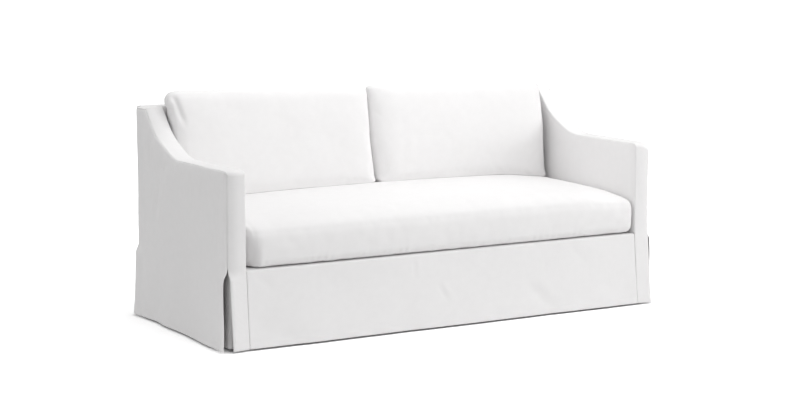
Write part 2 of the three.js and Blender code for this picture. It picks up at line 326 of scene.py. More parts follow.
# Creases of the outer arm, as (y, z) along its face.
SIDE_CREASES = [
    ((0.134, 0.690), (0.147, 0.620), 9 * MM, 3.9 * MM),
    ((0.100, 0.672), (0.106, 0.630), 8 * MM, -3.6 * MM),
    ((0.010, 0.655), (0.038, 0.615), 9 * MM, 3.9 * MM),
    ((-0.035, 0.650), (-0.020, 0.605), 9 * MM, -3.3 * MM),
    ((0.092, 0.620), (0.184, 0.380), 22 * MM, 6.3 * MM),
    ((0.170, 0.600), (0.230, 0.420), 20 * MM, -5.1 * MM),
    ((0.314, 0.740), (0.322, 0.475), 26 * MM, 5.4 * MM),
    ((-0.242, 0.630), (-0.249, 0.540), 14 * MM, -3.6 * MM),
    ((-0.300, 0.560), (-0.330, 0.330), 26 * MM, -5.1 * MM),
    ((0.231, 0.730), (0.250, 0.630), 13 * MM, 3.9 * MM),
    ((0.263, 0.762), (0.275, 0.660), 11 * MM, -3.6 * MM),
    ((-0.120, 0.640), (-0.128, 0.500), 18 * MM, 3.9 * MM),
]
# Creases of the front panel, as (x, z).
FRONT_CREASES = [
    ((-0.170, 0.262), (-0.168, 0.202), 6 * MM, -2.4 * MM),
    ((-0.150, 0.262), (-0.147, 0.215), 7 * MM, 1.4 * MM),
    ((-0.062, 0.160), (-0.026, 0.098), 8 * MM, -2.2 * MM),
    ((-0.040, 0.168), (-0.004, 0.110), 9 * MM, 1.6 * MM),
    ((0.446, 0.215), (0.446, 0.165), 11 * MM, -1.8 * MM),
    ((0.349, 0.130), (0.462, 0.034), 22 * MM, -2.8 * MM),
    ((0.395, 0.150), (0.505, 0.060), 20 * MM, 2.2 * MM),
    ((0.582, 0.251), (0.648, 0.192), 14 * MM, -1.6 * MM),
    ((-0.860, 0.262), (-0.800, 0.222), 16 * MM, -1.6 * MM),
    ((-0.880, 0.110), (-0.700, 0.010), 50 * MM, -4.0 * MM),
]


# ---- making a piece ------------------------------------------------------------------------

def settle(name, bm):
    """Turns a finished bmesh into an object whose place is in its mesh."""
    mesh = bpy.data.meshes.new(name)
    bm.to_mesh(mesh)
    bm.free()
    mesh.polygons.foreach_set("use_smooth", [True] * len(mesh.polygons))
    piece = bpy.data.objects.new(name, mesh)
    bpy.context.scene.collection.objects.link(piece)
    return piece


def sheet_of_cloth(name, columns, rows, place, outward):
    """A sheet whose outer face is place(a, b) over the grid lines columns and rows."""
    bm = bmesh.new()
    across, up = len(columns) - 1, len(rows) - 1
    bmesh.ops.create_grid(bm, x_segments=across, y_segments=up, size=0.5)
    for vert in bm.verts:
        vert.co = place(columns[round((vert.co.x + 0.5) * across)], rows[round((vert.co.y + 0.5) * up)])
    bm.normal_update()
    if sum(face.normal.dot(outward) for face in bm.faces) < 0:
        bmesh.ops.reverse_faces(bm, faces=bm.faces)
    piece = settle(name, bm)
    thickness = piece.modifiers.new("thickness", "SOLIDIFY")
    thickness.thickness = CLOTH
    thickness.offset = -1
    return piece


# ---- the cover's panels --------------------------------------------------------------------

def outer_arm(name, side, flare, front_reach, rear_reach, seed):
    """front_reach and rear_reach are how far the hem spreads forward and back."""
    first = outer_seam(side, -HALF_DEPTH)[1] - HALF_DEPTH - SEAM_GAP
    last = HALF_DEPTH - SEAM_GAP
    tuck = EDGE_RADIUS * (1 - math.cos(SEAM_TURN))

    def place(y, share):
        cosine = top_slope(y)
        seam_out, seam_drop = outer_seam(side, y)
        top = side_top(y) - seam_drop / cosine
        z = share * top
        free = smooth((FREE_BELOW - z) / 0.25)
        front = turn(y - first, mix(EDGE_RADIUS, FREE_RADIUS, free), mix(SEAM_TURN, FREE_TURN, free))
        rear = turn(last - y, REAR_CORNER)
        above = turn((top - z) * cosine, EDGE_RADIUS, SEAM_TURN)
        skirt = flare_share(z)
        inset = max(front[0], rear[0], above[0])
        from_pleat = HALF_DEPTH - abs(y)
        relief = (seam_out + tuck - ARM_WIDE) * smooth(z / 0.3)
        bulge = 1 - math.exp(-(y - first) / BULGE_FROM_FRONT)
        bulge *= 1 - math.exp(-(top - z) * cosine / BULGE_FROM_TOP)
        relief += SIDE_BULGE * bulge * smooth((last - y) / (60 * MM)) * smooth((z - 0.15) / 0.2)
        relief += flare(y) * skirt + KICK * kick_share(from_pleat, z) + folds(SIDE_FOLDS, side * -y, z)
        relief += creases(SIDE_CREASES, y, z) if side < 0 else 0
        relief += wander((y, z), seed) + wander((y, z), seed + 5, 70 * MM, 0.5 * MM)
        relief += pucker(y, (top - z) * cosine, seed, 3.2 * MM, 14 * MM, 22 * MM)
        relief += pucker(z, y - first, seed + 1) + hem(y, z, seed)
        # The skirt spreads forward and back towards the hem.
        forward = front_reach * clamp((0.24 - z) / 0.24) ** 1.1 * smooth((0.15 - y) / 0.55)
        backward = rear_reach * skirt * rearward(y)
        drawn = SEAM_DRAWN * hill(y - first, 7 * MM) * smooth((z - DECK) / (20 * MM))
        return shoulder(Vector((
            side * (HALF_WIDTH - inset - drawn + relief),
            y + front[1] - rear[1] - forward + backward + 0.8 * drawn,
            z - above[1] / cosine,
        )))

    columns = spread(first, last, FINE, 30 * MM, 12)
    rows = spread(0, 1, 0.0105, 0.04, 12)
    return sheet_of_cloth(name, columns, rows, place, Vector((side, 0, 0)))


def inner_arm(name, side, seed):
    rear_end = BACK_FRONT - SEAM_GAP

    def place(y, share):
        top = side_top(y)
        z = mix(DECK, top, share)
        cosine = top_slope(y)
        front = turn(y + HALF_DEPTH - SEAM_GAP, INNER_CORNER)
        above = turn((top - z) * cosine, INNER_CORNER)
        lean = BACK_LEAN * (1 - share) * (y + HALF_DEPTH) / (rear_end + HALF_DEPTH)
        full = 1.5 * MM * math.sin(math.pi * share) + wander((y, z), seed, 0.2, 1.5 * MM)
        full += pucker(y, (top - z) * cosine, seed, 0.7 * MM)
        full -= 5 * MM * clamp(1 - (y + HALF_DEPTH) / (45 * MM)) ** 2  # held in behind the strip
        x = ARM_INSIDE + max(front[0], above[0]) - full * smooth((BACK_FRONT - y) / (50 * MM))
        return Vector((side * x, y - lean + front[1], z - above[1] / cosine))

    columns = spread(SEAM_GAP - HALF_DEPTH, rear_end, 9 * MM, 14 * MM, 6)
    rows = spread(0, 1, 0.022, 0.04, 7)
    return sheet_of_cloth(name, columns, rows, place, Vector((-side, 0, 0)))


def arm_rail(along):
    """Point and outward direction in the y-z plane, this far along an arm strip from its hem."""
    rise = ARM_TOP - NOSE
    if along <= rise:
        return -HALF_DEPTH, along, -1.0, 0.0
    along -= rise
    if along <= NOSE * math.pi / 2:
        angle = along / NOSE
        return (NOSE - HALF_DEPTH - NOSE * math.cos(angle), rise + NOSE * math.sin(angle),
                -math.cos(angle), math.sin(angle))
    along -= NOSE * math.pi / 2
    if along <= HALF_DEPTH - NOSE:
        return NOSE - HALF_DEPTH + along, ARM_TOP, 0.0, 1.0
    along -= HALF_DEPTH - NOSE
    if along <= SWEEP_RADIUS * SWEEP_ANGLE:
        angle = along / SWEEP_RADIUS
        return (SWEEP_RADIUS * math.sin(angle), ARM_TOP + SWEEP_RADIUS * (1 - math.cos(angle)),
                -math.sin(angle), math.cos(angle))
    along -= SWEEP_RADIUS * SWEEP_ANGLE
    sine, cosine = math.sin(SWEEP_ANGLE), math.cos(SWEEP_ANGLE)
    return SWEEP_END_Y + along * cosine, SWEEP_END_Z + along * sine, -sine, cosine


STRIP_LENGTH = (
    ARM_TOP - NOSE + NOSE * math.pi / 2 + HALF_DEPTH - NOSE + SWEEP_RADIUS * SWEEP_ANGLE
    + (BACK_FRONT - SWEEP_END_Y) / math.cos(SWEEP_ANGLE) - CLOTH
)


def arm_strip(name, side, drift, step, seed):
    """At the hem it has drifted outward, and its outer edge steps forward where the skirt splits."""
    def place(across, along):
        y, z, normal_y, normal_z = arm_rail(along)
        # Below the split its outer edge is free, and it curls instead of bending.
        high = smooth((z - SPLIT) / (30 * MM)) if along < ARM_TOP else 1.0
        radius, angle = mix(18 * MM, EDGE_RADIUS, high), mix(HALF_CORNER, EDGE_ANGLE, high)
        out, back = strip_section(across, radius, angle, BEND_ANGLE * bend_share(side, y) * high)
        inner = turn(across - SEAM_GAP, INNER_CORNER)
        above_deck = smooth((z - DECK) / (20 * MM))
        share = flare_share(z)
        wide = across / STRIP_WIDE
        crown = 1.2 * MM * math.sin(math.pi * wide) * above_deck
        lift = crown + padding(y) * normal_z - back - mix(groove(across), inner[0], above_deck)
        lift -= groove(STRIP_WIDE - across, 3 * MM, 5 * MM) * above_deck * max(0.0, -normal_y)
        lift += wander((across, along), seed, 120 * MM, 1.0 * MM) + hem(across, z, seed)
        lift += pucker(along, min(across, STRIP_WIDE - across), seed, 0.6 * MM)
        x = side * (ARM_INSIDE + out + inner[1] * above_deck + drift * share)
        forward = front_flare(x) * share + step * wide * kick_share(0, z)
        return shoulder(Vector((x, y + normal_y * lift - forward, z + normal_z * lift)))

    columns = spread(SEAM_GAP, STRIP_WIDE - SEAM_GAP, 4.5 * MM, 14 * MM, 6)
    rows = spread(0, STRIP_LENGTH, 5 * MM, 40 * MM, 14)
    return sheet_of_cloth(name, columns, rows, place, Vector((0, -1, 1)))


def front_panel(left_drift, right_drift, seed):
    """Its ends drift outward towards the hem as the arm strips do."""
    end = ARM_INSIDE - SEAM_GAP

    def place(x, z):
        above = turn(DECK - SEAM_GAP - z, EDGE_RADIUS)
        share = flare_share(z)
        relief = front_flare(x) * share + folds(FRONT_FOLDS, x, z) + creases(FRONT_CREASES, x, z)
        relief += wander((x, z), seed) + wander((x, z), seed + 5, 80 * MM, 0.6 * MM) + hem(x, z, seed)
        relief += pucker(z, end - abs(x), seed, 0.6 * MM) - groove(end - abs(x)) - above[0]
        drift = mix(-left_drift, right_drift, 0.5 + x / (2 * end)) * share
        return Vector((x + drift, -HALF_DEPTH - relief, z - above[1]))

    rows = spread(0, DECK - SEAM_GAP, FINE * 0.8, 34 * MM, 12)
    return sheet_of_cloth("front_cloth", spread(-end, end, FINE), rows, place, Vector((0, -1, 0)))


def outside_back(seed):
    ease = outer_seam(1, HALF_DEPTH)[0] - ARM_WIDE
    end = HALF_WIDTH + ease - SEAM_GAP

    def place(x, z):
        corner = turn(end - abs(x), REAR_CORNER)
        above = turn(BACK_TOP - SEAM_GAP - z, REAR_CORNER)
        share = flare_share(z)
        relief = back_flare(x) * share + KICK * kick_share(end - abs(x), z) + folds(FRONT_FOLDS, -x, z)
        relief += wander((x, z), seed, 0.3, 3 * MM) + hem(x, z, seed) + pucker(x, BACK_TOP - z, seed)
        relief -= max(corner[0], above[0])
        shifted = x - math.copysign(corner[1] + ease * share, x) + 12 * MM * share * x / HALF_WIDTH
        return Vector((shifted, HALF_DEPTH + relief, z - above[1]))

    rows = spread(0, BACK_TOP - SEAM_GAP, 10 * MM, 34 * MM, 12)
    columns = spread(-end, end, 11 * MM, 24 * MM, 8)
    return sheet_of_cloth("outside_back_cloth", columns, rows, place, Vector((0, 1, 0)))


def back_boxing(seed):
    end = ARM_INSIDE + STRIP_WIDE - SEAM_GAP

    def place(x, y):
        out, down = strip_section(abs(x) - ARM_INSIDE, bend=BEND_ANGLE * SLOPE_BEND)
        front = turn(y - BACK_FRONT, INNER_CORNER) if abs(x) < ARM_INSIDE else (0.0, 0.0)
        rear = turn(HALF_DEPTH - SEAM_GAP - y, REAR_CORNER)
        crown = 1.5 * MM * math.sin(math.pi * (y - BACK_FRONT) / (HALF_DEPTH - BACK_FRONT))
        z = BACK_TOP - down - max(front[0], rear[0]) + crown + wander((x, y), seed, 0.15, 1.2 * MM)
        return Vector((math.copysign(ARM_INSIDE + out, x), y + front[1] - rear[1], z))

    columns = spread(-end, end, 9 * MM, 42 * MM, 12)
    rows = spread(BACK_FRONT + SEAM_GAP, HALF_DEPTH - SEAM_GAP, 6 * MM, 12 * MM, 5)
    return sheet_of_cloth("boxing_cloth", columns, rows, place, Vector((0, 0, 1)))


def inside_back_panel(seed):
    end = ARM_INSIDE - SEAM_GAP

    def place(x, z):
        above = turn(BACK_TOP - SEAM_GAP - z, INNER_CORNER)
        y = inside_back(z) + above[0] + abs(wander((x, z), seed, 0.3, 1.5 * MM))
        return Vector((x, y, z - above[1]))

    rows = spread(DECK + SEAM_GAP, BACK_TOP - SEAM_GAP, PLAIN, 10 * MM, 4)
    return sheet_of_cloth("inside_back_cloth", spread(-end, end, PLAIN), rows, place, Vector((0, -1, 0)))


def deck_panel(seed):
    end = ARM_INSIDE - SEAM_GAP

    def place(x, y):
        front = turn(y + HALF_DEPTH, EDGE_RADIUS)
        z = DECK - front[0] - abs(wander((x, y), seed, 0.3, 1.2 * MM))
        return Vector((x, y + front[1], z))

    rows = spread(SEAM_GAP - HALF_DEPTH, inside_back(DECK), PLAIN, 12 * MM, 5)
    return sheet_of_cloth("deck_cloth", spread(-end, end, PLAIN), rows, place, Vector((0, 0, 1)))


def pleat_underlay(name, side_x, side_y, hang, seed):
    """The folded strip that closes the split of the skirt from behind."""
    inset = CLOTH + 5 * MM
    bend = 14 * MM
    leg = PLEAT_REACH - bend
    arc = bend * math.pi / 2
    corner_x, corner_y = HALF_WIDTH - inset, HALF_DEPTH - inset

    def place(along, z):
        x, y, outward = corner_x - bend - leg + along, corner_y, (0.0, 1.0)
        if along > leg + arc:
            x, y, outward = corner_x, corner_y - bend - (along - leg - arc), (1.0, 0.0)
        elif along > leg:
            angle = (along - leg) / bend
            outward = (math.sin(angle), math.cos(angle))
            x, y = corner_x - bend + bend * outward[0], corner_y - bend + bend * outward[1]
        swing = hang * flare_share(z) * math.sin(math.pi * along / (2 * leg + arc)) / math.sqrt(2)
        relief = wander((along, z), seed, 0.06, 1.0 * MM) * smooth((DECK - z) / 0.1)
        x += swing + outward[0] * relief
        y += swing + outward[1] * relief
        return Vector((side_x * x, side_y * y, z))

    rows = spread(3 * MM, DECK - 8 * MM, 8 * MM, 20 * MM, 6)
    columns = spread(0, 2 * leg + arc, 4 * MM, 8 * MM, 4)
    return sheet_of_cloth(name, columns, rows, place, Vector((side_x, side_y, 0)))


# ---- the cushions --------------------------------------------------------------------------

CUSHION_GAP = 0.6 * MM
WALL_GAP = 1.5 * MM  # between a cushion and the cloth of the arms and the back
SEAT_MIDDLE = (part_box("seat_cushion")[0].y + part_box("seat_cushion")[1].y) / 2
SEAT_HALF = (894 * MM, (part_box("seat_cushion")[1].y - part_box("seat_cushion")[0].y) / 2, 75 * MM)
SIMULATED_FRAMES = 10
SEAT_VOXEL, SEAT_ROUND = 14 * MM, 24 * MM
SEAT_LOW = DECK + 1 * MM
SEAT_EDGE, SEAT_EDGE_DROP = 0.433, 15 * MM  # its top at the front, and the fall to the right arm
SEAT_RISE, SEAT_CROWN = 43 * MM, 20 * MM  # how much higher it is further back, and in the middle
SEAT_RISE_REACH = 105 * MM
SEAT_BELLY = 5 * MM  # the front swells between its seams
CORNER_IN, CORNER_BACK = 14 * MM, 12 * MM  # how far the left front corner draws in
LOWER_SEAM, UPPER_SEAM = 16 * MM, 9 * MM  # the seams of the front, from its foot and from its top
END_SEAM = 22 * MM  # and the upright one at its left end
BACK_HALF = (446.5 * MM, 50 * MM, 205 * MM)
BACK_MIDDLE = 447.8 * MM
BACK_VOXEL, BACK_ROUND = 11 * MM, 24 * MM
BACK_LOW = 0.49
BACK_BELLY = 46 * MM  # how far a back cushion's front swells out
FOOT = 190 * MM  # how far behind the middle of the sofa that front stands on the seat
LEAN, LEAN_FROM = 0.194, 0.492  # its slope, from this height up
END_REACH = 150 * MM  # the ends' sideways bends reach this far into a back cushion
OVER_ARM = 15 * MM  # a back cushion may bulge this far over the arm top
DENT = 10 * MM  # the dent in the left one's outer top corner
SHRINK = 2.5 * MM  # a cushion starts this much too small and is blown up
MOST_SWELL = 5 * MM


def round_box(half, radius, voxel):
    """An even skin of quads over a box with rounded edges, as a bmesh."""
    bm = bmesh.new()
    bmesh.ops.create_cube(bm, size=2.0)
    bmesh.ops.scale(bm, vec=Vector(half), verts=bm.verts)
    bmesh.ops.bevel(bm, geom=bm.edges[:], offset=radius, offset_type="OFFSET", affect="EDGES",
                    segments=6, profile=0.5, material=-1)
    rough = settle("rough", bm)
    even = rough.modifiers.new("even", "REMESH")
    even.mode = "VOXEL"
    even.voxel_size = voxel
    mesh = finished_mesh(rough)
    bpy.data.objects.remove(rough)
    bm = bmesh.new()
    bm.from_mesh(mesh)
    bpy.data.meshes.remove(mesh)
    return bm


def finished_mesh(piece):
    """The piece's mesh with its modifiers applied."""
    bpy.context.view_layer.update()
    graph = bpy.context.evaluated_depsgraph_get()
    return bpy.data.meshes.new_from_object(piece.evaluated_get(graph))


def blow_up(piece):
    """Fills a cushion: its cover is blown up as cloth, no point further than MOST_SWELL."""
    start = [vert.co.copy() for vert in piece.data.vertices]
    inward = [vert.normal * -SHRINK for vert in piece.data.vertices]
    for vert, step in zip(piece.data.vertices, inward):
        vert.co += step
    cloth = piece.modifiers.new("filling", "CLOTH")
    cloth.settings.quality = 3
    cloth.settings.use_pressure = True
    cloth.settings.uniform_pressure_force = 4
    cloth.settings.effector_weights.gravity = 0
    cloth.point_cache.frame_start, cloth.point_cache.frame_end = 1, SIMULATED_FRAMES
    for number in range(1, SIMULATED_FRAMES + 1):
        bpy.context.scene.frame_set(number)
    mesh = finished_mesh(piece)
    for vert, was in zip(mesh.vertices, start):
        move = vert.co - was
        vert.co = was + move * min(1.0, MOST_SWELL / max(move.length, 1e-9))
    bpy.context.scene.frame_set(1)
    piece.modifiers.clear()
    piece.data = mesh


def finish_cushion(piece, keep_clear, sew):
    """Blows a cushion up, keeps it off its neighbours, refines it once and sews its seams."""
    blow_up(piece)
    for vert in piece.data.vertices:
        vert.co = keep_clear(vert.co)
    finer = piece.modifiers.new("finer", "SUBSURF")
    finer.levels = finer.render_levels = 1
    mesh = finished_mesh(piece)
    piece.modifiers.clear()
    piece.data = mesh
    sewn = [keep_clear(sew(vert.co.copy(), vert.normal.copy())) for vert in mesh.vertices]
    for vert, place in zip(mesh.vertices, sewn):
        vert.co = place
    mesh.polygons.foreach_set("use_smooth", [True] * len(mesh.polygons))
    return piece


def seat_top(x, y):
    """Height of the seat cushion's top: it rises fast behind its front edge and is fullest there."""
    edge = SEAT_EDGE - SEAT_EDGE_DROP * smooth((x - 0.6) / 0.29)
    behind = max(0.0, y + HALF_DEPTH)
    rise = 1 - math.exp(-(behind / SEAT_RISE_REACH) ** 0.75)
    rise *= 1 - 0.12 * smooth((y - 0.15) / 0.14)  # pressed down under the back cushions
    return edge + rise * (SEAT_RISE + SEAT_CROWN * (1 - clamp(abs(x) / SEAT_HALF[0]) ** 2.5))


def seat_cushion():
    bm = round_box(SEAT_HALF, SEAT_ROUND, SEAT_VOXEL)
    for vert in bm.verts:
        x, y = vert.co.x, vert.co.y + SEAT_MIDDLE
        rise = (vert.co.z + SEAT_HALF[2]) / (2 * SEAT_HALF[2])
        # The left front corner draws in, most at its foot.
        corner = smooth((-x - 0.83) / (64 * MM)) * smooth((-0.33 - y) / (75 * MM))
        corner *= mix(0.5, 1.5, smooth((1 - rise) / 0.6) ** 2)
        z = SEAT_LOW + rise * (seat_top(x, y) - SEAT_LOW)
        front = SEAT_BELLY * math.sin(math.pi * rise) * smooth((-0.3 - y) / 0.1)
        # It has slid a little to the right.
        slid = 7 * MM * smooth((-x - 0.80) / (90 * MM)) + 5 * MM * smooth((x - 0.80) / (90 * MM))
        vert.co = Vector((x + slid + CORNER_IN * corner, y - front + CORNER_BACK * corner, z))

    def keep_clear(point):
        end = ARM_INSIDE - WALL_GAP
        rear = inside_back(point.z) - WALL_GAP
        return Vector((clamp(point.x, -end, end), min(point.y, rear), max(point.z, SEAT_LOW)))

    def sew(point, normal):
        if point.y > -0.3:
            return point
        lower = abs(point.z - SEAT_LOW - LOWER_SEAM)
        upper = abs(point.z - seat_top(point.x, -HALF_DEPTH) + UPPER_SEAM)
        end = point.x + SEAT_HALF[0] - CORNER_IN - END_SEAM
        gather = pucker(point.x, lower, 21.0, 5 * MM, 15 * MM, 15 * MM)
        gather += pucker(point.x, upper, 22.0, 3.2 * MM, 30 * MM, 12 * MM)
        gather -= (1.8 * hill(lower, 6 * MM) + 0.9 * hill(upper, 6 * MM) + 2.2 * hill(end, 7 * MM)) * MM
        gather += wander((point.x, point.z), 23.0, 50 * MM, 1.6 * MM)
        return point + normal * gather

    return finish_cushion(settle("seat_cushion_soft", bm), keep_clear, sew)


def border(rise):
    """How far right of the middle the back cushions meet: most at the foot and at the top."""
    return 14 * MM * abs(2 * rise - 1) ** 1.2


def front_line(z):
    """Where the back cushions' front would stand if it didn't swell."""
    return FOOT + LEAN * (z - LEAN_FROM)


def back_cushion(name, side, top_middle, top_tilt, corners, fullness, seed):
    """The rounding of the top corners and the fullness are each for (outer end, inner end)."""
    half = BACK_HALF
    bm = round_box(half, BACK_ROUND, BACK_VOXEL)

    def rise_of(point):
        return clamp((point.z - BACK_LOW) / (top_middle - BACK_LOW))

    for vert in bm.verts:
        rise = (vert.co.z + half[2]) / (2 * half[2])
        depth = (half[1] - vert.co.y) / (2 * half[1])
        from_outer, from_inner = half[0] - side * vert.co.x, half[0] + side * vert.co.x
        x = side * BACK_MIDDLE + vert.co.x + border(rise) * smooth(1 - from_inner / END_REACH)
        # The right one stands clear of its arm; the left one bulges over the top of its arm.
        if side > 0:
            x -= mix(9, 18, smooth(rise / 0.45)) * MM * smooth(1 - from_outer / END_REACH)
        else:
            x -= 13 * MM * smooth(1 - from_outer / (50 * MM)) * smooth((rise - 0.88) / 0.07)
        # The foot is pressed flat on the seat, with hardly any rounding left.
        pressed = smooth(1 - rise * 2 * half[2] / (34 * MM))
        depth = clamp(depth * (1 + 0.8 * pressed * BACK_ROUND / (2 * half[1] - BACK_ROUND)))
        top = top_middle + top_tilt * vert.co.x
        for distance, corner in zip((from_outer, from_inner), corners):
            near = clamp((corner - distance) / corner)
            top -= 0.8 * corner * (1 - math.sqrt(1 - near**2))
        foot = seat_top(x, FOOT + 30 * MM) + CUSHION_GAP
        z = mix(foot, top, rise)
        # The front is fullest just below its middle and falls away to the ends.
        taper = math.sin(math.pi / 2 * clamp(min(from_outer, from_inner) / (120 * MM))) ** 0.75
        swell = 1 - 0.5 * abs((rise - 0.47) / 0.53) ** 2.4
        end = fullness[0] if from_outer < from_inner else fullness[1]
        front = front_line(z) + 8 * MM - BACK_BELLY * mix(end, 1.0, taper) * swell
        if side > 0:  # its lower outer corner tucks back under
            front += 24 * MM * clamp((x - 0.45) / 0.43) ** 1.5 * smooth((0.72 - z) / 0.24)
        rear = inside_back(z) - 2 * MM
        vert.co = Vector((x, mix(rear, front, depth), z))

    def keep_clear(point):
        lowest = seat_top(point.x, point.y) + CUSHION_GAP
        rear = inside_back(point.z) - WALL_GAP
        above_arm = smooth((point.z - side_top(point.y) - 8 * MM) / (16 * MM))
        outer = ARM_INSIDE - 3.5 * MM + OVER_ARM * above_arm
        inner = side * border(rise_of(point)) + 0.4 * MM
        across = clamp(side * point.x, inner, outer)
        return Vector((side * across, min(point.y, rear), max(point.z, lowest)))

    def sew(point, normal):
        from_end = min(ARM_INSIDE - side * point.x, side * point.x)
        gather = wander((point.x, point.z), seed, 130 * MM, 2.5 * MM) * smooth((0.3 - point.y) / 0.05)
        gather += wander((point.x, point.z), seed + 1, 50 * MM, 0.8 * MM)
        gather += pucker(point.z, from_end, seed, 1.6 * MM, 16 * MM, 14 * MM)
        if side < 0:  # a dent runs down from the top outer corner
            off = point.x + ARM_INSIDE - 22 * MM - 0.25 * (0.88 - point.z)
            dent = hill(off, 12 * MM) * smooth((0.90 - point.z) / 0.02) * smooth((point.z - 0.76) / 0.06)
            gather -= DENT * dent * smooth((front_line(point.z) + 0.07 - point.y) / 0.04)
        return point + normal * gather

    return finish_cushion(settle(name, bm), keep_clear, sew)


# ---- finishes ------------------------------------------------------------------------------

def linear(hex_value):
    """An sRGB hex colour as the linear colour that the shaders take."""
    channels = [((hex_value >> shift) & 255) / 255 for shift in (16, 8, 0)]
    return (*[c / 12.92 if c <= 0.04045 else ((c + 0.055) / 1.055) ** 2.4 for c in channels], 1.0)


def add_node(tree, kind, settings=None, inputs=None, links=None):
    """Adds a node, sets its properties and its sockets' values, and links (socket, output)."""
    node = tree.nodes.new(kind)
    for key, value in (settings or {}).items():
        setattr(node, key, value)
    for key, value in (inputs or {}).items():
        node.inputs[key].default_value = value
    for key, output in (links or {}).items():
        tree.links.new(output, node.inputs[key])
    return node


def woven_cotton_linen(name, base, slub_tone):
    """Washed, plain-woven cotton and linen: matt, with thick and thin threads and a soft nap.

    The eye gets an off-white that varies very slightly, a faint grain of crossing threads and
    a pale bloom where the cloth turns away.
    """
    material = bpy.data.materials.new(name)
    material.use_nodes = True
    tree = material.node_tree
    tree.nodes.clear()
    place = add_node(tree, "ShaderNodeTexCoord").outputs["Object"]
    # The real threads are 0.7 mm apart; they are drawn 4 mm apart, the finest that shows.
    thread_pitch = 4 * MM
    grain = []
    for axis in ("X", "Y", "Z"):
        wave = add_node(tree, "ShaderNodeTexWave", {"bands_direction": axis, "wave_profile": "SIN"},
                        {"Scale": math.pi / (10 * thread_pitch), "Distortion": 1.2, "Detail": 1.0,
                         "Detail Scale": 0.6}, {"Vector": place})
        grain.append(wave.outputs["Fac"])
    first = add_node(tree, "ShaderNodeMath", {"operation": "ADD"}, None, {0: grain[0], 1: grain[1]})
    weave = add_node(tree, "ShaderNodeMath", {"operation": "ADD"}, None, {0: first.outputs[0], 1: grain[2]})
    slubs = add_node(tree, "ShaderNodeTexNoise", None, {"Scale": 1 / 0.03, "Detail": 3.0}, {"Vector": place})
    tone = add_node(tree, "ShaderNodeTexNoise", None, {"Scale": 1 / 0.35, "Detail": 2.0}, {"Vector": place})
    shade = add_node(tree, "ShaderNodeMath", {"operation": "ADD"}, None,
                     {0: slubs.outputs["Fac"], 1: tone.outputs["Fac"]})
    halved = add_node(tree, "ShaderNodeMath", {"operation": "MULTIPLY"}, {1: 0.5}, {0: shade.outputs[0]})
    colour = add_node(tree, "ShaderNodeMix", {"data_type": "RGBA"}, None, {"Factor": halved.outputs[0]})
    colour.inputs["A"].default_value = linear(base)
    colour.inputs["B"].default_value = linear(slub_tone)
    threads = add_node(tree, "ShaderNodeBump", None, {"Strength": 0.10, "Distance": 0.6 * MM},
                       {"Height": weave.outputs[0]})
    uneven = add_node(tree, "ShaderNodeBump", None, {"Strength": 0.12, "Distance": 2 * MM},
                      {"Height": slubs.outputs["Fac"], "Normal": threads.outputs["Normal"]})
    shader = add_node(tree, "ShaderNodeBsdfPrincipled", None,
                      {"Roughness": 0.92, "IOR": 1.45, "Specular IOR Level": 0.25,
                       "Sheen Weight": 0.12, "Sheen Roughness": 0.6, "Sheen Tint": linear(0xFFFFFF)},
                      {"Base Color": colour.outputs["Result"], "Normal": uneven.outputs["Normal"]})
    add_node(tree, "ShaderNodeOutputMaterial", None, None, {"Surface": shader.outputs["BSDF"]})
    return material


# ---- studio --------------------------------------------------------------------------------

FLOOR_WHITE, FLOOR_SEEN = 0.8, 1.55
GLOW_FROM, GLOW_FULL = 1.5, 2.6  # metres from the middle of the sofa


def studio_floor():
    """A white floor, so brightly lit that only what the hem shades keeps any tone.

    The camera sees it brighter than it is to the light that it throws back, and further out it
    glows as white as the background.
    """
    bm = bmesh.new()
    bmesh.ops.create_grid(bm, x_segments=1, y_segments=1, size=40)
    bmesh.ops.translate(bm, vec=Vector((0, 0, FLOOR)), verts=bm.verts)
    floor = settle("floor", bm)
    paint = bpy.data.materials.new("matt_white_paint")
    paint.use_nodes = True
    tree = paint.node_tree
    tree.nodes.clear()
    matt = add_node(tree, "ShaderNodeBsdfDiffuse", None, {"Color": (*[FLOOR_WHITE] * 3, 1)})
    bright = add_node(tree, "ShaderNodeBsdfDiffuse", None, {"Color": (*[FLOOR_SEEN] * 3, 1)})
    place = add_node(tree, "ShaderNodeTexCoord").outputs["Object"]
    away = add_node(tree, "ShaderNodeVectorMath", {"operation": "LENGTH"}, None, {0: place})
    far = add_node(tree, "ShaderNodeMapRange", {"interpolation_type": "SMOOTHSTEP"},
                   {"From Min": GLOW_FROM, "From Max": GLOW_FULL, "To Min": 0.0, "To Max": 1.0},
                   {"Value": away.outputs["Value"]})
    glow = add_node(tree, "ShaderNodeEmission", None, None, {"Strength": far.outputs["Result"]})
    shown = add_node(tree, "ShaderNodeAddShader", None, None,
                     {0: bright.outputs["BSDF"], 1: glow.outputs["Emission"]})
    by_ray = add_node(tree, "ShaderNodeMixShader", None, None, {
        "Fac": add_node(tree, "ShaderNodeLightPath").outputs["Is Camera Ray"],
        1: matt.outputs["BSDF"], 2: shown.outputs["Shader"]})
    add_node(tree, "ShaderNodeOutputMaterial", None, None, {"Surface": by_ray.outputs["Shader"]})
    floor.data.materials.append(paint)


# Pale screens round the sofa, each brightest straight towards it: (direction, strength).
SCREENS = [((-1, 0.3, 0.15), 1.36), ((0.25, -1, 0.15), 0.97), ((1, -1, 0.15), 0.45)]


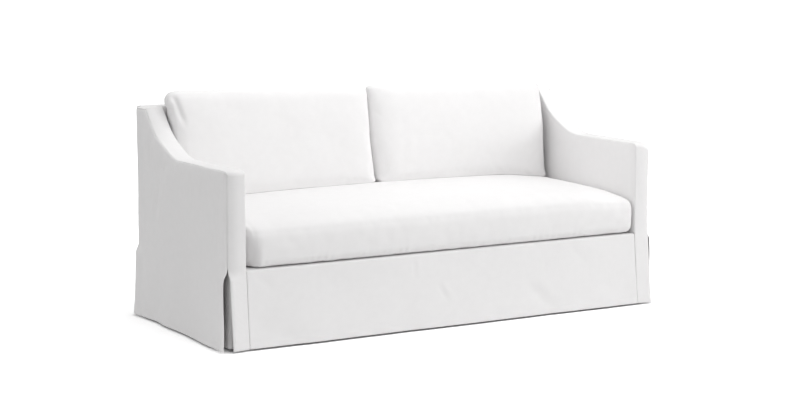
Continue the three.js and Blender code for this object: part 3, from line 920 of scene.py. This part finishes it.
def studio_world():
    """Soft light from the screens; the camera sees plain white behind the sofa."""
    world = bpy.data.worlds.new("studio")
    bpy.context.scene.world = world
    world.use_nodes = True
    tree = world.node_tree
    tree.nodes.clear()
    direction = add_node(tree, "ShaderNodeTexCoord").outputs["Generated"]
    total = None
    for towards, strength in SCREENS:
        facing = add_node(tree, "ShaderNodeVectorMath", {"operation": "DOT_PRODUCT"},
                          {1: Vector(towards).normalized()}, {0: direction})
        front_side = add_node(tree, "ShaderNodeMath", {"operation": "MAXIMUM"}, {1: 0.0},
                              {0: facing.outputs["Value"]})
        falloff = add_node(tree, "ShaderNodeMath", {"operation": "POWER"}, {1: 2.0},
                           {0: front_side.outputs[0]})
        share = add_node(tree, "ShaderNodeMath", {"operation": "MULTIPLY"}, {1: strength},
                         {0: falloff.outputs[0]})
        if total is not None:
            share = add_node(tree, "ShaderNodeMath", {"operation": "ADD"}, None,
                             {0: share.outputs[0], 1: total.outputs[0]})
        total = share
    white = linear(0xFFFFFF)
    lit = add_node(tree, "ShaderNodeBackground", None, {"Color": white}, {"Strength": total.outputs[0]})
    seen = add_node(tree, "ShaderNodeBackground", None, {"Color": white, "Strength": 1.05})
    by_ray = add_node(tree, "ShaderNodeMixShader", None, None, {
        "Fac": add_node(tree, "ShaderNodeLightPath").outputs["Is Camera Ray"],
        1: lit.outputs["Background"], 2: seen.outputs["Background"]})
    add_node(tree, "ShaderNodeOutputWorld", None, None, {"Surface": by_ray.outputs["Shader"]})


def soft_light(name, place, aim, size, power):
    light = bpy.data.lights.new(name, "AREA")
    light.shape = "RECTANGLE"
    light.size, light.size_y = size
    light.energy = power
    lamp = bpy.data.objects.new(name, light)
    lamp.location = place
    lamp.rotation_euler = (Vector(aim) - Vector(place)).to_track_quat("-Z", "Y").to_euler()
    bpy.context.scene.collection.objects.link(lamp)


def studio_camera():
    camera = bpy.data.objects.new("camera", bpy.data.cameras.new("camera"))
    camera.data.sensor_width = 36
    camera.data.lens = 99.63
    azimuth, elevation, distance = math.radians(-30.90), math.radians(7.97), 9.045
    aim = Vector((0.0117, 0.0, 0.4177))
    level = math.cos(elevation)
    away = Vector((math.sin(azimuth) * level, -math.cos(azimuth) * level, math.sin(elevation)))
    camera.location = aim + distance * away
    camera.rotation_euler = (aim - camera.location).to_track_quat("-Z", "Y").to_euler()
    bpy.context.scene.collection.objects.link(camera)
    bpy.context.scene.camera = camera


# ---- the set -------------------------------------------------------------------------------

studio_camera()
studio_floor()
studio_world()
soft_light("overhead_light", (0.5, -0.6, 3.6), (0, 0, 0.4), (3.6, 2.6), 62)
soft_light("rear_overhead_light", (0, 1.6, 3.4), (0, 0, 0.6), (3.0, 2.0), 30)
soft_light("front_right_light", (4.0, -3.4, 1.1), (0, 0, 0.5), (2.0, 2.0), 42)
soft_light("right_light", (4.6, -1.0, 1.8), (0, 0, 0.6), (2.0, 2.0), 22)
bpy.context.scene.view_settings.view_transform = "Standard"

cover_cloth = woven_cotton_linen("washed_cotton_linen_cover", 0xECEBEB, 0xE3E2E2)
cushion_cloth = woven_cotton_linen("washed_cotton_linen_cushion", 0xEEEDED, 0xE5E4E4)

# How each cloth is cut: the rectangle that it fits in, wide and long, and its own area.
SIDE_CUT = (0.87, 0.85, 0.582)
INNER_CUT = (0.73, 0.57, 0.285)
STRIP_CUT = (0.078, 1.45, 0.108)
FRONT_CUT = (1.82, 0.295, 0.530)
BACK_CUT = (1.96, 0.86, 1.656)
BOXING_CUT = (1.94, 0.095, 0.180)
INSIDE_BACK_CUT = (1.80, 0.565, 1.006)
DECK_CUT = (1.80, 0.70, 1.256)
PLEAT_CUT = (0.17, 0.28, 0.0476)

# Each piece of the cover, the node it stands for, and its cut.
cover = [
    (outer_arm("outer_arm_cloth_left", -1, left_flare, 68 * MM, 27 * MM, 1.0), "outer_arm_left", SIDE_CUT),
    (outer_arm("outer_arm_cloth_right", 1, right_flare, 14 * MM, 30 * MM, 2.0), "outer_arm_right", SIDE_CUT),
    (inner_arm("inner_arm_cloth_left", -1, 3.0), "inner_arm_left", INNER_CUT),
    (inner_arm("inner_arm_cloth_right", 1, 4.0), "inner_arm_right", INNER_CUT),
    (arm_strip("arm_strip_cloth_left", -1, 10 * MM, KICK, 5.0), "arm_strip_left", STRIP_CUT),
    (arm_strip("arm_strip_cloth_right", 1, 6 * MM, 0.0, 6.0), "arm_strip_right", STRIP_CUT),
    (front_panel(10 * MM, 6 * MM, 7.0), "front_panel", FRONT_CUT),
    (outside_back(8.0), "outside_back", BACK_CUT),
    (back_boxing(9.0), "back_boxing", BOXING_CUT),
    (inside_back_panel(10.0), "inside_back", INSIDE_BACK_CUT),
    (deck_panel(11.0), "deck", DECK_CUT),
    (pleat_underlay("pleat_cloth_front_left", -1, -1, 35 * MM, 12.0), "pleat_front_left", PLEAT_CUT),
    (pleat_underlay("pleat_cloth_front_right", 1, -1, 8 * MM, 13.0), "pleat_front_right", PLEAT_CUT),
    (pleat_underlay("pleat_cloth_back_left", -1, 1, 8 * MM, 14.0), "pleat_back_left", PLEAT_CUT),
    (pleat_underlay("pleat_cloth_back_right", 1, 1, 18 * MM, 15.0), "pleat_back_right", PLEAT_CUT),
]
for piece, node, (wide, long, area) in cover:
    piece.data.materials.append(cover_cloth)
    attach(piece, "root")
    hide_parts(node)

# Each cushion, the node it stands for, and how much of it is filling.
cushions = [
    (seat_cushion(), "seat_cushion", 0.8),
    (back_cushion("back_cushion_soft_left", -1, 0.9045, -0.022, (40 * MM, 12 * MM), (0.8, 0.85), 31.0),
     "back_cushion_left", 0.7),
    (back_cushion("back_cushion_soft_right", 1, 0.8915, -0.0108, (26 * MM, 14 * MM), (0.5, 0.3), 41.0),
     "back_cushion_right", 0.7),
]
for piece, node, fill in cushions:
    piece.data.materials.append(cushion_cloth)
    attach(piece, "root")
    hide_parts(node)
